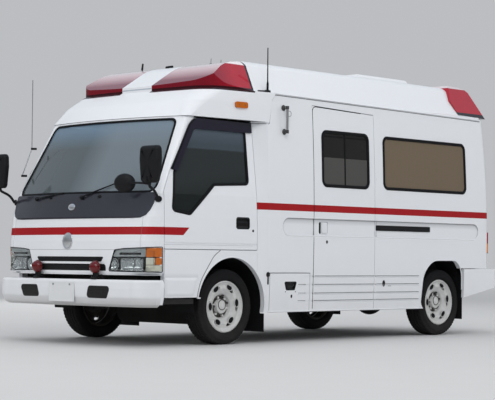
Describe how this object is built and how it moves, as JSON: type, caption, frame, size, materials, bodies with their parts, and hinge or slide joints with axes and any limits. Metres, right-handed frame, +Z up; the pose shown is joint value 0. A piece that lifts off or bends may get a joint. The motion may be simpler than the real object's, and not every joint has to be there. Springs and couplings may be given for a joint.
{
  "type": "ambulance",
  "caption": "High-roofed ambulance van on a cab-over light truck frame, with red corner beacons, a sliding side door, a lift-up tailgate and turning wheels.",
  "frame": {"origin": "on the ground under the middle of the vehicle", "axes": "+X forward, +Y to the left, +Z up"},
  "size_m": [4.96, 2.14, 2.556],
  "materials": {
    "white_paint": "gloss",
    "cowl_black": "satin",
    "glass": "clear",
    "tinted_glass": "tinted",
    "lamp_glass": "clear",
    "red_lens": "gloss",
    "amber_lens": "gloss",
    "visor_smoke": "gloss",
    "black_plastic": "matte",
    "black_rubber": "matte",
    "tyre": "matte",
    "rim_steel": "dusty silver",
    "frame_black": "chassis black",
    "cast_metal": "rough",
    "exhaust_steel": "dull",
    "rail_steel": "satin",
    "floor_grey": "matte",
    "seat_fabric": "woven",
    "fittings": "satin"
  },
  "bodies": {
    "root": {"cab_front": "white_paint", "cowl_panel": "cowl_black", "windscreen": "glass", "headlamps": "lamp_glass", "grille": "black_plastic", "side_left": "white_paint", "side_right": "white_paint", "door_slide": "white_paint", "side_glass": "tinted_glass", "roof_cap": "white_paint", "beacons_front": "red_lens", "beacons_rear": "red_lens", "rear_frame": "white_paint", "bumper_front": "white_paint", "bumper_rear": "white_paint", "chassis_frame": "frame_black", "axle_front": "frame_black", "axle_rear": "frame_black", "leaf_springs": "frame_black", "engine_block": "cast_metal", "drive_shaft": "frame_black", "floor": "floor_grey", "fuel_tank": "frame_black", "exhaust": "exhaust_steel", "mudflaps": "black_rubber", "side_steps": "black_plastic", "warning_lamps": "red_lens", "tail_lamps": "red_lens", "mirror_left": "black_plastic", "mirror_right": "black_plastic", "wipers": "black_rubber", "antennas": "frame_black", "grab_rail": "rail_steel", "dashboard": "black_plastic", "seats": "seat_fabric", "cabin_fittings": "fittings", "slide_rail": "black_plastic", "marker_lamps": "amber_lens"},
    "knuckle_left": {"knuckle_left": "cast_metal"},
    "knuckle_right": {"knuckle_right": "cast_metal"},
    "wheel_front_left": {"rim_front_left": "rim_steel", "tyre_front_left": "tyre"},
    "wheel_front_right": {"rim_front_right": "rim_steel", "tyre_front_right": "tyre"},
    "wheel_rear_left": {"rim_rear_left": "rim_steel", "tyre_rear_left": "tyre"},
    "wheel_rear_right": {"rim_rear_right": "rim_steel", "tyre_rear_right": "tyre"},
    "door_left": {"door_left": "white_paint", "glass_door_left": "glass", "visor_left": "visor_smoke"},
    "door_right": {"door_right": "white_paint", "glass_door_right": "glass", "visor_right": "visor_smoke"},
    "tailgate": {"tailgate": "white_paint", "tailgate_glass": "tinted_glass"},
    "utility_lid": {"utility_lid": "white_paint"},
    "steering_wheel": {"steering_wheel": "black_plastic"}
  },
  "joints": [
    {"name": "steer_left", "type": "hinge", "parent": "root", "child": "knuckle_left", "pos_m": [1.42, 0.672, 0.319], "axis": [0, 0, 1], "range_deg": [-35, 35]},
    {"name": "steer_right", "type": "hinge", "parent": "root", "child": "knuckle_right", "pos_m": [1.42, -0.672, 0.319], "axis": [0, 0, 1], "range_deg": [-35, 35]},
    {"name": "roll_front_left", "type": "hinge", "parent": "knuckle_left", "child": "wheel_front_left", "pos_m": [1.42, 0.786, 0.319], "axis": [0, 1, 0], "continuous": true},
    {"name": "roll_front_right", "type": "hinge", "parent": "knuckle_right", "child": "wheel_front_right", "pos_m": [1.42, -0.786, 0.319], "axis": [0, 1, 0], "continuous": true},
    {"name": "roll_rear_left", "type": "hinge", "parent": "root", "child": "wheel_rear_left", "pos_m": [-1.565, 0.786, 0.319], "axis": [0, 1, 0], "continuous": true},
    {"name": "roll_rear_right", "type": "hinge", "parent": "root", "child": "wheel_rear_right", "pos_m": [-1.565, -0.786, 0.319], "axis": [0, 1, 0], "continuous": true},
    {"name": "door_left_hinge", "type": "hinge", "parent": "root", "child": "door_left", "pos_m": [2.192, 0.936, 1.1], "axis": [0, 0, -1], "range_deg": [0, 70]},
    {"name": "door_right_hinge", "type": "hinge", "parent": "root", "child": "door_right", "pos_m": [2.192, -0.936, 1.1], "axis": [0, 0, 1], "range_deg": [0, 70]},
    {"name": "tailgate_hinge", "type": "hinge", "parent": "root", "child": "tailgate", "pos_m": [-2.258, 0, 2.086], "axis": [0, 1, 0], "range_deg": [0, 85]},
    {"name": "utility_lid_hinge", "type": "hinge", "parent": "root", "child": "utility_lid", "pos_m": [0.936, 0.943, 0.436], "axis": [0, 0, -1], "range_deg": [0, 100]},
    {"name": "steering_wheel_turn", "type": "hinge", "parent": "root", "child": "steering_wheel", "pos_m": [1.9, -0.42, 1.24], "axis": [-0.5736, 0, 0.8192], "range_deg": [-560, 560]}
  ],
  "couplings": [
    {"joint": "steer_right", "follows": "steer_left", "ratio": 1},
    {"joint": "steering_wheel_turn", "follows": "steer_left", "ratio": 16}
  ]
}
